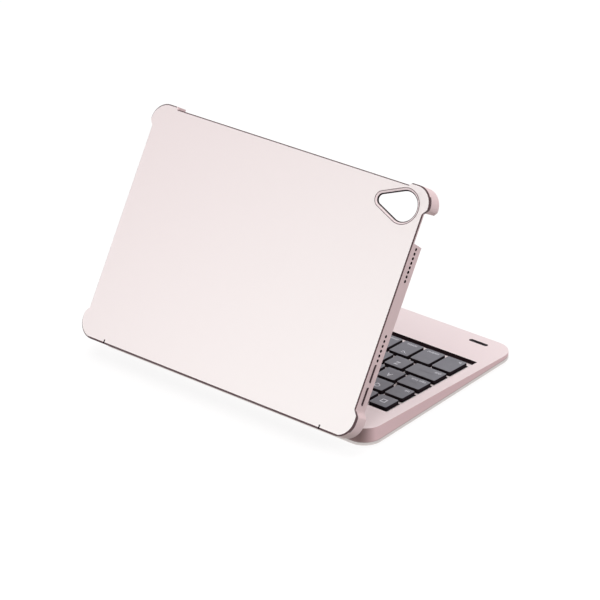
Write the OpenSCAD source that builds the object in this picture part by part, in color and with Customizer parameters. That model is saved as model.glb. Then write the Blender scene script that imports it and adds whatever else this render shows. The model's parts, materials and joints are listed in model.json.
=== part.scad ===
// Tablet keyboard case: a hard lid that clips round an 8.3 inch tablet, hinged on a
// wedge-shaped keyboard. X runs across, -Y is the user's side, +Z is up, and the
// rubber feet stand on z = 0. All sizes are millimetres.

/* [Tablet] */
// Length of the tablet across the case
tablet_w = 195.4; // [190:0.1:205]
// Height of the tablet when it stands in the lid
tablet_h = 134.8; // [130:0.1:140]
// Thickness of the tablet
tablet_t = 6.3; // [5.5:0.1:8]
// Corner radius of the tablet
tablet_r = 12; // [6:0.5:16]
// Play all round the tablet in its bay
tablet_play = 0.2; // [0.1:0.05:0.5]

/* [Lid] */
// Thickness of the lid's back plate
plate_t = 1.5; // [1.2:0.1:2.5]
// Thickness of the lid's side walls
side_wall = 1.1; // [0.9:0.1:2]
// Height of the ledge under the tablet
ledge_h = 3.4; // [2.5:0.1:4]
// How far the plate stands above the tablet
plate_over = 1.4; // [0.5:0.1:3]
// How far each corner ear stands out past the plate's sides
ear_flare = 2.5; // [1:0.1:3.5]
// How far the upper ears stand above the plate's top edge
ear_rise = 1.5; // [0.5:0.1:2.5]
// Corner radius of the ears
ear_r = 10.5; // [8:0.5:10.5]
// Length of each lower ear up the side of the lid
ear_len = 13; // [12.5:0.5:20]
// Length of each upper ear down the side of the lid
upper_ear_len = 10.5; // [10.5:0.5:16]
// Length of each upper ear along the top edge
ear_top_len = 15.3; // [14.5:0.1:26]
// Depth of the lip that holds the tablet's front
lip_t = 1.3; // [0.8:0.1:2]
// How far the lip reaches over the tablet
lip_reach = 1.6; // [0.8:0.1:3]
// Angle of the lid above the keyboard in the stored pose
lid_open = 60; // [30:1:110]
// Width of the polished chamfer round the back plate
plate_chamfer = 0.6; // [0.3:0.1:1]

/* [Lid openings] */
// Radius of the camera opening round the lens
camera_r = 8.4; // [6:0.1:9]
// Radius of the camera opening's narrow end
camera_end_r = 2.9; // [2:0.1:4]
// Distance between the two ends of the camera opening
camera_len = 14.8; // [12:0.1:18]
// Distance from the plate's side edge to the lens centre
camera_inset_x = 13.6; // [13:0.1:16]
// Distance from the plate's top edge to the lens centre
camera_inset_y = 11.8; // [11.5:0.1:16]
// Width of the bevel round the camera opening
camera_bevel = 1.7; // [0.6:0.1:1.8]
// Radius of the speaker holes
speaker_r = 0.9; // [0.5:0.05:1]
// Length of a volume button
volume_len = 10; // [8:0.1:11]
// Width of a volume button
volume_w = 1.8; // [1.4:0.1:2.4]
// How far a volume button is pressed in
volume_travel = 0.3; // [0.2:0.05:0.35]
// Height of the first volume button above the plate's lower edge
volume_up_y = 38; // [36:0.5:42]
// Distance between the two volume buttons
volume_pitch = 13; // [12:0.5:14]
// Length of the gap beside the tablet's sleep button
sleep_gap = 17; // [10:0.5:18]
// Length of the charging port's gap in the lid's other side wall
port_gap = 14; // [10:0.5:20]

/* [Hinge] */
// Radius of the hinge barrel
barrel_r = 3.6; // [3:0.1:4]
// Distance from the plate's side edge to the end of the hinge barrel
barrel_inset = 18.2; // [18:0.1:28]
// Gap between the barrel and the knuckle at each end
barrel_gap = 0.4; // [0.3:0.1:1]
// Length of each knuckle on the keyboard case
knuckle_len = 8.6; // [6:0.1:9]
// Radius of the hinge pins
pin_r = 1.25; // [1:0.05:1.6]
// Length of a hinge pin inside the barrel
pin_engage = 11; // [8:0.5:16]
// Radius of the friction sleeves
sleeve_r = 2.4; // [2:0.1:2.8]
// Length of a friction sleeve
sleeve_len = 12; // [9:0.5:18]
// Width of the slits at the ends of the barrel section
slit_w = 0.9; // [0.4:0.1:1]
// Height of the slits
slit_h = 2.7; // [1:0.1:3]

/* [Keyboard case] */
// Distance from the deck's rear edge to the hinge axis
hinge_back = 4.2; // [4:0.1:5]
// Slope of the deck
wedge = 3.1; // [2:0.1:4]
// Height of the upper shell's side at its front edge
front_h = 3.2; // [3:0.1:5]
// Height of the bottom cover's rim
rim_h = 1.7; // [1.6:0.1:2.5]
// Height of the upright edge at the top of the bottom cover's rim
rim_edge = 0.4; // [0.3:0.1:0.8]
// How far the bottom cover is drawn in below that edge
rim_draw = 2.6; // [0.5:0.1:3]
// Wall thickness of the keyboard case
case_wall = 1.3; // [1:0.1:1.6]
// Thickness of the bottom cover's floor
floor_t = 1; // [0.8:0.1:1.2]
// Corner radius at the front of the keyboard case
front_r = 12.5; // [8:0.5:14]
// Corner radius at the back of the keyboard case
rear_r = 11; // [8:0.5:14]
// Height of the rubber feet below the bottom cover
foot_h = 0.8; // [0.5:0.1:1.5]

/* [Keys] */
// Distance from the front edge to the key well
well_front = 28.3; // [26:0.1:30]
// Depth of the key well from front to back
well_d = 80.5; // [80:0.1:82]
// How deep the key well is sunk into the deck
well_depth = 1.8; // [1:0.1:2]
// Thickness of the key well's floor
well_floor = 0.9; // [0.7:0.1:1.1]
// Width of the deck beside the key field
deck_side = 10; // [9:0.1:11]
// Margin of the well beside the keys
well_margin = 3; // [1.5:0.1:3.2]
// Gap between the key field and the well's front wall
field_front = 5.1; // [4.8:0.1:5.6]
// Depth of a key from front to back
key_d = 11.8; // [10.5:0.1:12]
// Depth of the keys in the front row
key_front_d = 16; // [15:0.1:16.2]
// Distance between rows
row_pitch = 14.2; // [14:0.1:14.4]
// Gap between neighbouring keys in a row
key_gap = 1.9; // [1.6:0.1:2.4]
// Width of the tab key
tab_w = 12.7; // [12:0.1:14]
// Width of the caps lock key
caps_w = 15.7; // [14:0.1:17]
// Width of the left shift key
shift_w = 21.4; // [18:0.1:22]
// Width of the backspace key
backspace_w = 19.9; // [18:0.1:22]
// Width of the keys beside the space bar
modifier_w = 13.5; // [12.5:0.1:14]
// How far the key tops stand above the deck
key_rise = 0.7; // [0.4:0.1:1.2]
// Corner radius of the keys
key_r = 1; // [0.6:0.1:1.5]
// Chamfer round the key tops
key_chamfer = 0.3; // [0.2:0.05:0.4]
// Clearance between a key and its opening
key_play = 0.35; // [0.3:0.05:0.5]
// How far a key is pressed down
key_travel = 1.1; // [0.8:0.1:1.2]

/* [Inside] */
// Thickness of the steel plate under the keys
key_plate_t = 0.5; // [0.3:0.1:0.8]
// Thickness of the silicone sheet that carries the domes
dome_sheet_t = 0.25; // [0.2:0.05:0.4]
// Radius of a silicone dome at its foot
dome_r = 2.2; // [1.6:0.1:2.6]
// Height of a silicone dome
dome_h = 1.5; // [0.8:0.05:1.6]
// Length of the battery
battery_l = 72; // [50:1:90]
// Depth of the battery from front to back
battery_d = 30; // [20:1:32]
// Thickness of the battery
battery_t = 3; // [2:0.1:3.2]
// Length of the circuit board
board_l = 58; // [50:1:60]
// Depth of the circuit board from front to back
board_d = 17; // [14:0.5:18]
// Thickness of the circuit board
board_t = 1; // [0.8:0.1:1.2]
// Width of the charging port
port_w = 8.9; // [8:0.1:9.2]
// Height of the charging port
port_h = 3.2; // [2.8:0.1:3.4]
// Length of the charging port
port_l = 7.3; // [6:0.1:9]
// How far the power switch slides
switch_travel = 2; // [1:0.1:2.5]
// Length of the indicator window
lens_l = 12.8; // [8:0.1:16]
// Width of the indicator window
lens_w = 2.5; // [1.5:0.1:2.8]

/* [Fasteners and feet] */
// Radius of the case screws' threads
screw_r = 0.8; // [0.6:0.05:1]
// Radius of the case screws' heads
screw_head_r = 1.5; // [1.3:0.1:1.8]
// Length of a rubber foot
foot_l = 26; // [20:1:32]
// Width of a rubber foot
foot_w = 5; // [4:0.5:7]

/* [Hidden] */
$fn = 48;
eps = 0.01;
past = 1;             // how far a cut runs on past a face
tall = 40;            // taller than anything in the case
seat = 0.05;          // gap between a curved seat and what is bonded into it
run_fit = 0.03;       // radial clearance of a turning pin

// Lid: x across, y up the plate from its lower edge, z from the plate's back towards the user
bay_w = tablet_w + 2 * tablet_play;
bay_y0 = ledge_h;
bay_h = tablet_h + 2 * tablet_play;
bay_t = tablet_t + 0.3;
bay_r = tablet_r;
plate_w = bay_w + 2 * side_wall;
plate_h = bay_y0 + bay_h + plate_over;
lid_depth = plate_t + bay_t + lip_t;
ear_x = plate_w / 2 + ear_flare;
ear_top = plate_h + ear_rise;
flare_len = 4;        // neck between an ear and the plate's side
step_len = 1.5;       // and between an upper ear and the plate's top edge
flare_steps = 6;
arc_steps = 10;
camera_x = -(plate_w / 2 - camera_inset_x);
camera_y = plate_h - camera_inset_y;
camera_facets = 64;
bevel_slope = 0.7;    // depth of the camera bevel for each millimetre of its width
bevel_past = 0.4;     // how far the bevel runs on past the opening's wall
ramp_len = 1;         // sloping end of the wall beside the sleep button
ear_ramp = 0.5;       // and of the ear above the gap
ear_end = 1.5;        // from the foot of the ear's neck to the end of its wall
left_wall_top = ear_top - upper_ear_len - flare_len + ear_end - ear_ramp - sleep_gap - ramp_len;
port_ramp = 1;
// Rows of speaker holes as [first hole's height, pitch, number], left wall and right wall
speaker_z = plate_t + bay_t / 2 + 0.2;
speaker_row_len = 19.7;   // from the first upper hole to the left wall's top
speaker_top = 47.5;       // from the first upper hole to the ears' top on the right
speaker_left = [[left_wall_top - speaker_row_len, 2.57, 8], [45.4, 2.74, 6]];
speaker_right = [[26, 2.6, 8], [ear_top - speaker_top, 2.6, 8]];
volume_seat = 0.5;    // depth of the seat for a volume button's flange
volume_play = 0.25;
volume_flange = 0.4;  // how far the flange stands out past the button
volume_proud = 0.1;   // how far a pressed button still stands proud
flange_t = 0.3;
flange_gap = 0.05;

// Hinge axis in the lid: height above the lower edge and depth from the plate's back
closed_gap = 0.3;
hinge_z = lid_depth + closed_gap + 2.1;
hinge_y = 3.15;
barrel_len = plate_w - 2 * barrel_inset;
saddle_gap = 1.3;     // from the saddle's top to the hinge axis
saddle_root = 1;      // how deep the saddle is rooted in the ledge
knuckle_x0 = barrel_len / 2 + barrel_gap;
knuckle_x1 = knuckle_x0 + knuckle_len;
sleeve_fit = 0.02;    // gap between a pressed-in sleeve and its bore
sleeve_sunk = 0.2;
pin_head_r = pin_r + 0.9;
pin_head_t = 0.9;
pin_sunk = 0.1;       // how far a pin or a sleeve ends below the face round it
knuckle_clear = lid_depth - 2;

// Keyboard case, as wide as the lid over its ears and flush with the closed lid's top edge
closed_over = 0.15;   // how far the closed lid's ears reach past the deck's front edge
case_w = 2 * ear_x;
case_d = ear_top - hinge_y - hinge_back - closed_over;
deck_front_z = foot_h + rim_h + front_h;
parting_z = foot_h + rim_h;
case_d_flat = case_d * cos(wedge);
// Hinge axis on the case: distance from the front edge along the deck, height above the deck
hinge_v = case_d + hinge_back;
hinge_w = lid_depth + closed_gap - hinge_z;
// The lid's lower back edge, which is the part's rearmost point
edge_v = hinge_v + hinge_y * cos(lid_open) + hinge_z * sin(lid_open);
edge_w = hinge_w - hinge_y * sin(lid_open) + hinge_z * cos(lid_open);
front_y = -(edge_v * cos(wedge) - edge_w * sin(wedge)) / 2;
knuckle_web_v = case_d - 2;

// Key layout, from the user's left to right; a width of 0 takes what is left of the row
field_w = case_w - 2 * deck_side;
letter_w = (field_w - tab_w - backspace_w - 11 * key_gap) / 10;
digit_w = (field_w - 12 * key_gap) / 13;
rest = 0;
function letters(word) = [for (c = word) [str("key_", c), letter_w]];
function repeat(name, w, n) = [for (i = [1:n]) [name, w]];
rows = [
    concat([["key_home", digit_w]], repeat("digit_keys", digit_w, 10),
           repeat("punctuation_keys", digit_w, 2)),
    concat([["key_tab", tab_w]], letters("qwertyuiop"), [["key_backspace", rest]]),
    concat([["key_caps_lock", caps_w]], letters("asdfghjkl"),
           [["punctuation_keys", letter_w], ["key_enter", rest]]),
    concat([["key_left_shift", shift_w]], letters("zxcvbnm"),
           repeat("punctuation_keys", letter_w, 3), [["right_modifier_keys", rest]]),
    [["key_fn", modifier_w], ["key_control", modifier_w], ["key_option", modifier_w],
     ["left_command_key", modifier_w], ["key_space", rest], ["right_modifier_keys", modifier_w],
     ["arrow_keys", modifier_w], ["arrow_keys", modifier_w, "split"], ["arrow_keys", modifier_w]]
];
function total(list, i = 0) = i < len(list) ? list[i][1] + total(list, i + 1) : 0;
function width(row, i) =
    row[i][1] > 0 ? row[i][1] : field_w - total(row) - key_gap * (len(row) - 1);
function start(row, i) =
    i == 0 ? -field_w / 2 : start(row, i - 1) + width(row, i - 1) + key_gap;
front_row = len(rows) - 1;
field_v0 = well_front + field_front;
function row_depth(r) = r == front_row ? key_front_d : key_d;
function row_v(r) =
    r == front_row ? field_v0 : field_v0 + key_front_d - key_d + (front_row - r) * row_pitch;
// Every key as [node, x, v, width, depth]
split_gap = 1;
half_d = (key_front_d - split_gap) / 2;
key_list = [for (r = [0:front_row]) for (i = [0:len(rows[r]) - 1])
    for (half = len(rows[r][i]) > 2 ? [0, 1] : [0])
        [rows[r][i][0], start(rows[r], i), row_v(r) + half * (half_d + split_gap),
         width(rows[r], i), len(rows[r][i]) > 2 ? half_d : row_depth(r)]];
cap_bottom = -well_depth + 0.05;
cap_h = key_rise - cap_bottom;
cap_top_t = 0.8;
cap_wall = 0.9;
well_w = field_w + 2 * well_margin;
dome_floor_w = -well_depth - well_floor - 0.4;
rib_wall = 1;         // thickness of the rib round the key field

// Inside
plate_w_low = dome_floor_w - dome_sheet_t - key_plate_t;
sheet_inset = 0.6;
floor_z = foot_h + floor_t;
battery_back = 62;    // from the battery's front edge to the deck's rear edge
battery_v = case_d - battery_back;
battery_side = 4;     // from the middle of the case to the battery
battery_r = 2;
stand_off = 1.6;
board_v = case_d - rear_r - board_d - 0.5;   // clear of the case's round corner
board_z = floor_z + stand_off;
board_top = board_z + board_t;
board_x1 = case_w / 2 - case_wall - 0.3;
board_x0 = board_x1 - board_l;
post_r = 1.6;
post_in = [4, 6, 3];  // from the board's inner, outer and long edges to its posts
// Chips on the board as [x, y, length, width, height]
chips = [[23, 5, 8, 8, 1], [3, 3, 9, 4, 1.2]];
port_v = board_v + board_d / 2 + 2.6;
port_z = board_top;
port_sunk = 0.2;      // from the case's side to the port's mouth
port_wall = 0.3;
port_back = 1;
tongue_t = 0.7;
tongue_side = 1.2;
port_play = 0.3;
switch_v = board_v + 2.6;
switch_knob = [2.2, 3.6, 1.4];
switch_z = board_top + 0.8;
switch_out = 0.4;
switch_play = 0.3;
switch_body = [4.4, 8, 0.5];
knob_len = case_wall + 1.5;
knob_flange = 0.8;
knob_edge = 0.25;     // how far the knob's flange stands out above and below it
knob_side = 0.4;
lens_x = -(case_w / 2 - 21.8);
lens_v = 7.7;
lens_sunk = 0.15;
lens_play = 0.1;
led_board_t = 0.6;
led_margin = 2;
magnet_r = 4;
magnet_t = 1;
magnet_x = case_w / 2 - 15.5;
magnet_v = 17;
front_screw_v = 17;
rear_screw_v = case_d - 16;
front_screw_x = case_w / 2 - 39.5;
rear_screw_x0 = -(case_w / 2 - 17.5);
rear_screw_x1 = board_x0 - 13.9;
screw_places = concat([for (i = [-1:1]) [i * front_screw_x, front_screw_v]],
    [for (x = [rear_screw_x0, (rear_screw_x0 + rear_screw_x1) / 2, rear_screw_x1]) [x, rear_screw_v]]);
boss_r = 2.3;
screw_len = 3.2;
head_t = 0.55;
head_sunk = 0.05;
head_play = 0.15;
screw_play = 0.2;
screw_end = 0.6;      // room past the screw's end in its boss
recess_r = 0.7;
recess_d = 0.3;
foot_x = case_w / 2 - 29.5;
foot_inset = 10;
foot_places = [for (x = [-foot_x, foot_x]) for (y = [foot_inset, case_d - foot_inset]) [x, y]];
foot_sink = 0.3;
rib_in = [32.5, 48.5];    // from the well's sides to the outer ribs
rib_places = [rib_in[0] - well_w / 2, 0, well_w / 2 - rib_in[1]];
rib_t = 1.2;
rib_gap = 2;

key_nodes = concat(
    [for (c = "qwertyuiopasdfghjklzxcvbnm") str("key_", c)],
    ["key_home", "key_tab", "key_caps_lock", "key_left_shift", "key_fn", "key_control",
     "key_option", "left_command_key", "key_space", "key_enter", "key_backspace",
     "digit_keys", "punctuation_keys", "right_modifier_keys", "arrow_keys"]);

// ---- Frames ----

// Flat case frame: y from the case's front edge
module on_case() translate([0, front_y, 0]) children();

// Deck frame: y along the sloping deck from its front edge, z out of the deck
module on_deck() translate([0, front_y, deck_front_z]) rotate([wedge, 0, 0]) children();

// Lid frame, turned about the hinge axis
module on_lid()
    on_deck() translate([0, hinge_v, hinge_w]) rotate([180 - lid_open, 0, 0])
        translate([0, -hinge_y, -hinge_z]) children();

module both_sides() for (side = [0, 1]) mirror([side, 0, 0]) children();

// ---- Shared shapes ----

function arc(c, r, a0, a1) =
    [for (i = [0:arc_steps]) let (a = a0 + (a1 - a0) * i / arc_steps) c + r * [cos(a), sin(a)]];

// Smooth step between two points, moving along y or along x
function ease(t) = t * t * (3 - 2 * t);
function flare_y(p, q) = [for (i = [0:flare_steps]) let (t = i / flare_steps)
    [p[0] + (q[0] - p[0]) * ease(t), p[1] + (q[1] - p[1]) * t]];
function flare_x(p, q) = [for (i = [0:flare_steps]) let (t = i / flare_steps)
    [p[0] + (q[0] - p[0]) * t, p[1] + (q[1] - p[1]) * ease(t)]];
function mirrored(points) = [for (i = [len(points) - 1:-1:0]) [-points[i][0], points[i][1]]];

// Rectangle from its lower left corner with round corners
module round_rect(w, d, r) {
    translate([r, 0]) square([w - 2 * r, d]);
    translate([0, r]) square([w, d - 2 * r]);
    for (x = [r, w - r]) for (y = [r, d - r]) translate([x, y]) circle(r);
}

// Bar with round ends, centred
module pill(l, w) {
    square([l - w, w], center = true);
    for (side = [-1, 1]) translate([side * (l - w) / 2, 0]) circle(w / 2);
}

// ---- Lid ----

lid_half = concat(
    arc([ear_x - ear_r, ear_r], ear_r, -90, 0),
    flare_y([ear_x, ear_len], [plate_w / 2, ear_len + flare_len]),
    flare_y([plate_w / 2, ear_top - upper_ear_len - flare_len], [ear_x, ear_top - upper_ear_len]),
    arc([ear_x - ear_r, ear_top - ear_r], ear_r, 0, 90),
    flare_x([ear_x - ear_top_len, ear_top], [ear_x - ear_top_len - step_len, plate_h]));
lid_outline = concat(lid_half, mirrored(lid_half));

// Teardrop camera opening as a taper between two margins round its outline
module camera_taper(z, h, low, high)
    hull() for (end = [[0, camera_r], [camera_len, camera_end_r]]) translate([end[0], 0, z])
        cylinder(r1 = end[1] + low, r2 = end[1] + high, h = h, $fn = camera_facets);

module camera_cut() translate([camera_x, camera_y, 0]) {
    camera_taper(-past, plate_t + 2 * past, 0, 0);
    camera_taper(-bevel_past, (camera_bevel + 2 * bevel_past) * bevel_slope,
                 camera_bevel + bevel_past, -bevel_past);
}

// Tablet bay: full size in depth, with the lips left standing over the corners
module bay_shape(inset) translate([-bay_w / 2 + inset, bay_y0 + inset])
    round_rect(bay_w - 2 * inset, bay_h - 2 * inset, bay_r - inset);

module bay_cut() {
    translate([0, 0, plate_t]) linear_extrude(bay_t) bay_shape(0);
    translate([0, 0, plate_t]) linear_extrude(bay_t + lip_t + eps) bay_shape(lip_reach);
}

// A cut across a side wall, outside the bay's corners, along a profile of [height, depth]
module wall_cut(x, profile) translate([x, 0, 0]) rotate([90, 0, 90])
    linear_extrude(ear_x + past - bay_w / 2 + bay_r) polygon(profile);

// What stands above the plate only where there is a wall or an ear
module wall_gaps() {
    over = lid_depth + eps;
    // top edge between the ears
    translate([-(ear_x - ear_top_len), bay_y0 + bay_h - bay_r, plate_t])
        cube([2 * (ear_x - ear_top_len), bay_r + tall, lid_depth]);
    // gap beside the tablet's sleep button
    gap0 = left_wall_top + ramp_len;
    wall_cut(-ear_x - past, [[left_wall_top, over], [gap0, plate_t], [gap0 + sleep_gap, plate_t],
                             [gap0 + sleep_gap + ear_ramp, over]]);
    // charging port's gap in the other side wall
    port0 = (plate_h - port_gap) / 2;
    wall_cut(bay_w / 2 - bay_r, [[port0, over], [port0 + port_ramp, plate_t],
                                 [port0 + port_gap - port_ramp, plate_t], [port0 + port_gap, over]]);
    // room for the knuckles below the ledge
    both_sides() translate([barrel_len / 2, -eps, knuckle_clear])
        cube([knuckle_len + 2 * barrel_gap, bay_y0 + lip_reach + 2 * past, lid_depth]);
    // the ledge is lower between the slits, where the barrel sits against it
    translate([-barrel_len / 2, bay_y0, plate_t]) cube([barrel_len, lip_reach + past, lid_depth]);
}

module speaker_row(row, x) for (i = [0:row[2] - 1])
    translate([x, row[0] + i * row[1], speaker_z]) rotate([0, 90, 0])
        cylinder(r = speaker_r, h = 2 * (side_wall + past), center = true, $fn = 24);

module at_volume(y) translate([-plate_w / 2, y, speaker_z]) rotate([90, 0, 90]) children();

module volume_hole(y) at_volume(y) {
    translate([0, 0, -past]) linear_extrude(side_wall + 2 * past)
        pill(volume_len + 2 * volume_play, volume_w + 2 * volume_play);
    translate([0, 0, side_wall - volume_seat]) linear_extrude(volume_seat + past)
        pill(volume_len + 2 * (volume_play + volume_flange), volume_w + 2 * (volume_play + volume_flange));
}

module lid_shell() color("mistyrose") on_lid() difference() {
    union() {
        translate([0, 0, plate_chamfer]) linear_extrude(lid_depth - plate_chamfer) polygon(lid_outline);
        // polished chamfer round the back, narrowest at the face
        translate([0, plate_h / 2, plate_chamfer]) mirror([0, 0, 1])
            linear_extrude(plate_chamfer, slices = 1, scale = [1 - 2 * plate_chamfer / plate_w,
                                                               1 - 2 * plate_chamfer / plate_h])
                translate([0, -plate_h / 2]) polygon(lid_outline);
        // saddle for the hinge barrel
        translate([-barrel_len / 2, 0, lid_depth - saddle_root])
            cube([barrel_len, ledge_h, hinge_z - saddle_gap - lid_depth + saddle_root]);
    }
    bay_cut();
    wall_gaps();
    camera_cut();
    translate([0, hinge_y, hinge_z]) rotate([0, 90, 0])
        cylinder(r = barrel_r + seat, h = barrel_len + 2 * past, center = true);
    both_sides() translate([barrel_len / 2 - slit_w, -past, -past])
        cube([slit_w, slit_h + past, hinge_z + past]);
    for (row = speaker_left) speaker_row(row, -plate_w / 2);
    for (row = speaker_right) speaker_row(row, plate_w / 2);
    volume_hole(volume_up_y);
    volume_hole(volume_up_y - volume_pitch);
}

// A press button in the side wall, kept in by its flange
module volume_button(y) at_volume(y) {
    flange_z = side_wall - volume_seat + flange_gap;
    translate([0, 0, -volume_travel - volume_proud])
        linear_extrude(flange_z + volume_travel + volume_proud) pill(volume_len, volume_w);
    translate([0, 0, flange_z]) linear_extrude(flange_t)
        pill(volume_len + 2 * volume_flange, volume_w + 2 * volume_flange);
}
module volume_up_button() color("rosybrown") on_lid() volume_button(volume_up_y);
module volume_down_button() color("rosybrown") on_lid() volume_button(volume_up_y - volume_pitch);

// ---- Hinge ----

module at_hinge() on_deck() translate([0, hinge_v, hinge_w]) children();
module across(r, x0, x1) translate([x0, 0, 0]) rotate([0, 90, 0]) cylinder(r = r, h = x1 - x0);

module hinge_barrel() color("rosybrown") at_hinge() difference() {
    across(barrel_r, -barrel_len / 2, barrel_len / 2);
    both_sides() across(sleeve_r + sleeve_fit, barrel_len / 2 - sleeve_len - sleeve_sunk,
                        barrel_len / 2 + past);
}

module friction_sleeves() color("silver") at_hinge() both_sides() difference() {
    across(sleeve_r, barrel_len / 2 - sleeve_len, barrel_len / 2 - pin_sunk);
    across(pin_r + run_fit, barrel_len / 2 - sleeve_len - past, barrel_len / 2 + past);
}

module hinge_pins() color("gray") at_hinge() both_sides() {
    across(pin_r, knuckle_x0 - pin_engage, knuckle_x1 - pin_sunk);
    across(pin_head_r, knuckle_x1 - pin_head_t, knuckle_x1 - pin_sunk);
}

// Knuckle with the web that ties it to the back of the case
module knuckle() {
    at_hinge() across(barrel_r, knuckle_x0, knuckle_x1);
    on_deck() translate([knuckle_x0, knuckle_web_v, hinge_w - barrel_r])
        cube([knuckle_len, hinge_v - knuckle_web_v, barrel_r - hinge_w]);
}

// ---- Keyboard case ----

case_half = concat(
    arc([case_w / 2 - front_r, front_r], front_r, -90, 0),
    arc([case_w / 2 - rear_r, case_d_flat - rear_r], rear_r, 0, 90));
case_outline = concat(case_half, mirrored(case_half));

// How much smaller the case's outline is when it is drawn in by an inset
function drawn_in(inset) = [1 - 2 * inset / case_w, 1 - 2 * inset / case_d_flat];

module case_shape(inset) translate([0, case_d_flat / 2]) scale(drawn_in(inset))
    translate([0, -case_d_flat / 2]) polygon(case_outline);

module above_deck(w) on_deck() translate([-case_w, -tall, w]) cube([2 * case_w, 3 * case_d, tall]);

module case_block(inset, z0, w) difference() {
    on_case() translate([0, 0, z0]) linear_extrude(tall / 2) case_shape(inset);
    above_deck(w);
}

module well_block(grow, w0, w1) on_deck()
    translate([-well_w / 2 - grow, well_front - grow, w0])
        cube([well_w + 2 * grow, well_d + 2 * grow, w1 - w0]);

module key_opening(k) translate([k[1] - key_play, k[2] - key_play])
    square([k[3] + 2 * key_play, k[4] + 2 * key_play]);

module lens_shape(play) translate([lens_x, lens_v]) pill(lens_l + 2 * play, lens_w + 2 * play);

module at_screws() for (p = screw_places) on_case() translate([p[0], p[1] * cos(wedge), 0]) children();

module at_port(x) on_case() translate([x, port_v, port_z + port_h / 2]) rotate([90, 0, 90]) children();

module side_openings() {
    out = case_w / 2 - case_wall - past;
    at_port(out) linear_extrude(case_wall + 2 * past) pill(port_w + 2 * port_play, port_h + 2 * port_play);
    on_case() translate([out, switch_v - (switch_travel + switch_knob[1]) / 2 - switch_play,
                         switch_z - switch_play])
        cube([case_wall + 2 * past, switch_travel + switch_knob[1] + 2 * switch_play,
              switch_knob[2] + 2 * switch_play]);
}

// The shell's skin: outer block less the room inside, with the sunk well and its walls left in
module upper_skin() difference() {
    case_block(0, parting_z, 0);
    difference() {
        case_block(case_wall, parting_z - past, -case_wall);
        well_block(case_wall, -well_depth - well_floor, 0);
    }
}

// Rib round the key field that presses on the dome sheet
module sheet_rib() difference() {
    well_block(0, dome_floor_w, -well_depth - well_floor + eps);
    well_block(-rib_wall, dome_floor_w - past, 0);
}

module screw_bosses() intersection() {
    at_screws() translate([0, 0, floor_z]) cylinder(r = boss_r, h = tall / 2);
    case_block(case_wall / 2, 0, -case_wall / 2);
}

module top_case() color("mistyrose") difference() {
    union() {
        upper_skin();
        sheet_rib();
        both_sides() knuckle();
        screw_bosses();
    }
    well_block(0, -well_depth, past);
    on_deck() translate([0, 0, -well_depth - well_floor - past]) linear_extrude(well_floor + 2 * past)
        for (k = key_list) key_opening(k);
    on_deck() translate([0, 0, -case_wall - past]) linear_extrude(case_wall + 2 * past)
        lens_shape(lens_play);
    at_hinge() both_sides() across(pin_r + seat, knuckle_x0 - past, knuckle_x1 + past);
    at_hinge() both_sides() across(pin_head_r + seat, knuckle_x1 - pin_head_t - seat, knuckle_x1 + past);
    at_screws() translate([0, 0, foot_h]) cylinder(r = screw_r + seat, h = floor_t + screw_len + screw_end);
    side_openings();
}

module foot_shape(play) pill(foot_l + 2 * play, foot_w + 2 * play);
module at_feet() for (p = foot_places) on_case() translate([p[0], p[1], 0]) children();

// Ribs that hold the steel key plate up from the floor
module plate_ribs() intersection() {
    for (x = rib_places) on_case() translate([x - rib_t / 2, well_front, floor_z - eps])
        cube([rib_t, battery_v - rib_gap - well_front, tall / 2]);
    difference() {
        on_case() translate([-case_w, 0, 0]) cube([2 * case_w, case_d, tall]);
        above_deck(plate_w_low);
    }
}

// Posts under the circuit board
module board_posts() on_case()
    for (x = [board_x0 + post_in[0], board_x1 - post_in[1]])
        for (y = [board_v + post_in[2], board_v + board_d - post_in[2]])
            translate([x, y, floor_z - eps]) cylinder(r = post_r, h = stand_off + eps);

// The cover's dish: an upright edge and a side drawn in below it, round a thin floor
module cover_dish() difference() {
    union() {
        on_case() translate([0, 0, parting_z - rim_edge]) linear_extrude(rim_edge) polygon(case_outline);
        on_case() translate([0, case_d_flat / 2, parting_z - rim_edge]) mirror([0, 0, 1])
            linear_extrude(rim_h - rim_edge, slices = 1, scale = drawn_in(rim_draw))
                translate([0, -case_d_flat / 2]) polygon(case_outline);
    }
    on_case() translate([0, 0, floor_z]) linear_extrude(rim_h) case_shape(case_wall + rim_draw);
}

module bottom_cover() color("rosybrown") difference() {
    union() {
        cover_dish();
        plate_ribs();
        board_posts();
    }
    at_feet() translate([0, 0, -past]) linear_extrude(foot_h + foot_sink + past) foot_shape(seat);
    at_screws() translate([0, 0, foot_h - past]) {
        cylinder(r = screw_r + screw_play, h = floor_t + 2 * past);
        cylinder(r = screw_head_r + head_play, h = past + 2 * head_sunk + head_t);
    }
}

module rubber_feet() color("dimgray") at_feet() linear_extrude(foot_h + foot_sink) foot_shape(0);

module case_screws() color("silver") at_screws() translate([0, 0, foot_h + head_sunk]) difference() {
    union() {
        cylinder(r = screw_head_r, h = head_t);
        cylinder(r = screw_r, h = head_t + screw_len);
    }
    translate([0, 0, -past]) cylinder(r = recess_r, h = past + recess_d, $fn = 6);
}

// ---- Under the keys ----

module sheet(t, inset) translate([-well_w / 2 + inset, well_front + inset])
    linear_extrude(t) square([well_w - 2 * inset, well_d - 2 * inset]);

function key_centre(k) = [k[1] + k[3] / 2, k[2] + k[4] / 2];

module dome_sheet() color("gainsboro") on_deck() {
    translate([0, 0, dome_floor_w - dome_sheet_t]) sheet(dome_sheet_t, 0);
    for (k = key_list) translate([key_centre(k)[0], key_centre(k)[1], dome_floor_w - eps])
        cylinder(r1 = dome_r, r2 = dome_r * 0.6, h = dome_h + eps, $fn = 24);
}

module key_plate() color("slategray") on_deck()
    translate([0, 0, plate_w_low]) sheet(key_plate_t, sheet_inset);

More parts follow.
